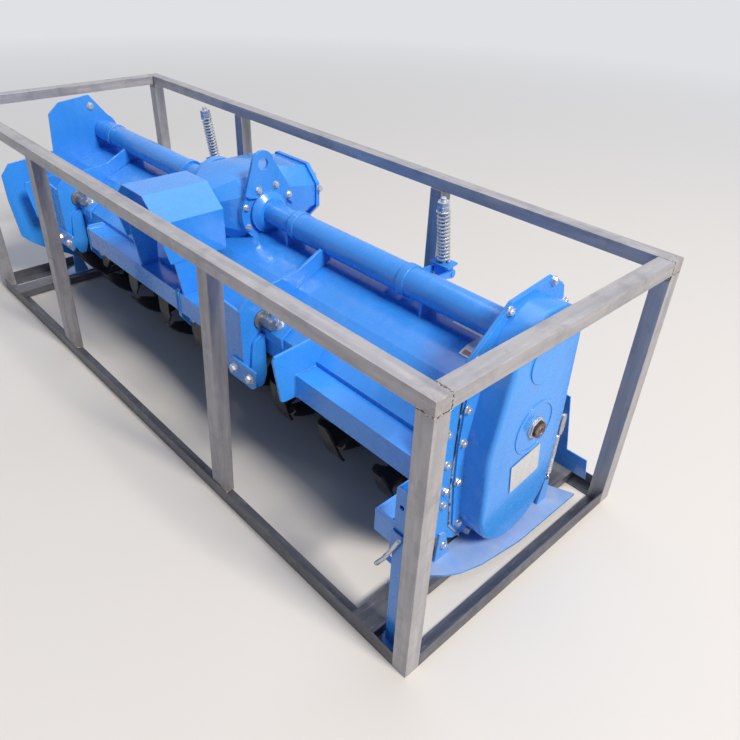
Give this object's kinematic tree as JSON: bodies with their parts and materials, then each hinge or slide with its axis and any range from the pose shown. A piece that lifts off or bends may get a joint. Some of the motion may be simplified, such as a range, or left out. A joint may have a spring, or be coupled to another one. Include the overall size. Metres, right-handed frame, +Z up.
{
  "type": "rotavator in a transport frame",
  "caption": "Tractor-mounted rotavator with a bladed rotor under a hood, side gear case, hinged trailing board on spring rods, a parking leg and a steel transport frame.",
  "frame": {"origin": "on the floor under the middle of the transport frame", "axes": "+X along the rotor towards the gear case, -Y towards the tractor, +Z up"},
  "size_m": [2.868, 1, 0.945],
  "materials": {
    "blue_paint": "gloss enamel",
    "frame_steel": "bare mill steel",
    "zinc": "bright zinc plate",
    "black_paint": "satin dip paint",
    "machined_steel": "oiled machined steel",
    "plug": "turned steel, browned"
  },
  "bodies": {
    "machine": {"beam_cap_left": "blue_paint", "beam_tube_left": "blue_paint", "beam_tube_right": "blue_paint", "case_plug": "plug", "frame_corner_posts": "frame_steel", "frame_end_angles": "frame_steel", "frame_end_rails": "frame_steel", "frame_long_angles": "frame_steel", "frame_long_rails": "frame_steel", "frame_mid_posts": "frame_steel", "frame_sills": "frame_steel", "front_beam_centre": "blue_paint", "front_beam_left": "blue_paint", "front_beam_right": "blue_paint", "front_beam_short": "blue_paint", "gear_case": "blue_paint", "gearbox_cover": "blue_paint", "gearbox_housing": "blue_paint", "guard_plates": "blue_paint", "hinge_bar": "zinc", "hitch_cheek_left": "blue_paint", "hitch_cheek_right": "blue_paint", "hitch_pins": "zinc", "hitch_web_left": "blue_paint", "hitch_web_right": "blue_paint", "hood": "blue_paint", "hood_saddles": "blue_paint", "input_guard": "blue_paint", "leg_sleeve": "blue_paint", "lifting_lug": "blue_paint", "rod_arms": "blue_paint", "rotor_bearing_left": "blue_paint", "side_plate_left": "blue_paint", "side_plate_right": "blue_paint", "skid_left": "blue_paint", "skid_right": "blue_paint", "tension_pin": "zinc", "tension_spring": "zinc"},
    "rotor": {"rotor_shaft": "black_paint", "rotor_blades": "black_paint"},
    "input": {"input_shaft": "machined_steel"},
    "board": {"trailing_board": "blue_paint", "board_ears": "blue_paint"},
    "rod_right": {"rod_right": "zinc", "spring_right": "zinc", "nuts_right": "zinc", "swivel_right": "blue_paint"},
    "rod_left": {"rod_left": "zinc", "spring_left": "zinc", "nuts_left": "zinc", "swivel_left": "blue_paint"},
    "leg": {"parking_leg": "blue_paint"}
  },
  "joints": [
    {"name": "rotor_spin", "type": "hinge", "parent": "machine", "child": "rotor", "pos_m": [0, 0.045, 0.275], "axis": [1, 0, 0], "continuous": true},
    {"name": "input_spin", "type": "hinge", "parent": "machine", "child": "input", "pos_m": [-0.08, -0.132, 0.722], "axis": [0, 1, 0], "continuous": true},
    {"name": "board_swing", "type": "hinge", "parent": "machine", "child": "board", "pos_m": [0, 0.325, 0.462], "axis": [1, 0, 0], "range_deg": [-12, 0]},
    {"name": "rod_right_swing", "type": "hinge", "parent": "machine", "child": "rod_right", "pos_m": [0.724, 0.355, 0.637], "axis": [1, 0, 0], "range_deg": [-5.7, 0]},
    {"name": "rod_left_swing", "type": "hinge", "parent": "machine", "child": "rod_left", "pos_m": [-0.684, 0.355, 0.637], "axis": [1, 0, 0], "range_deg": [-5.7, 0]},
    {"name": "leg_slide", "type": "slide", "parent": "machine", "child": "leg", "axis": [0, 0, 1], "range_m": [0, 0.055]}
  ],
  "couplings": [
    {"joint": "input_spin", "follows": "rotor_spin", "ratio": 2.4},
    {"joint": "rod_right_swing", "follows": "board_swing", "ratio": 0.47},
    {"joint": "rod_left_swing", "follows": "board_swing", "ratio": 0.47}
  ]
}
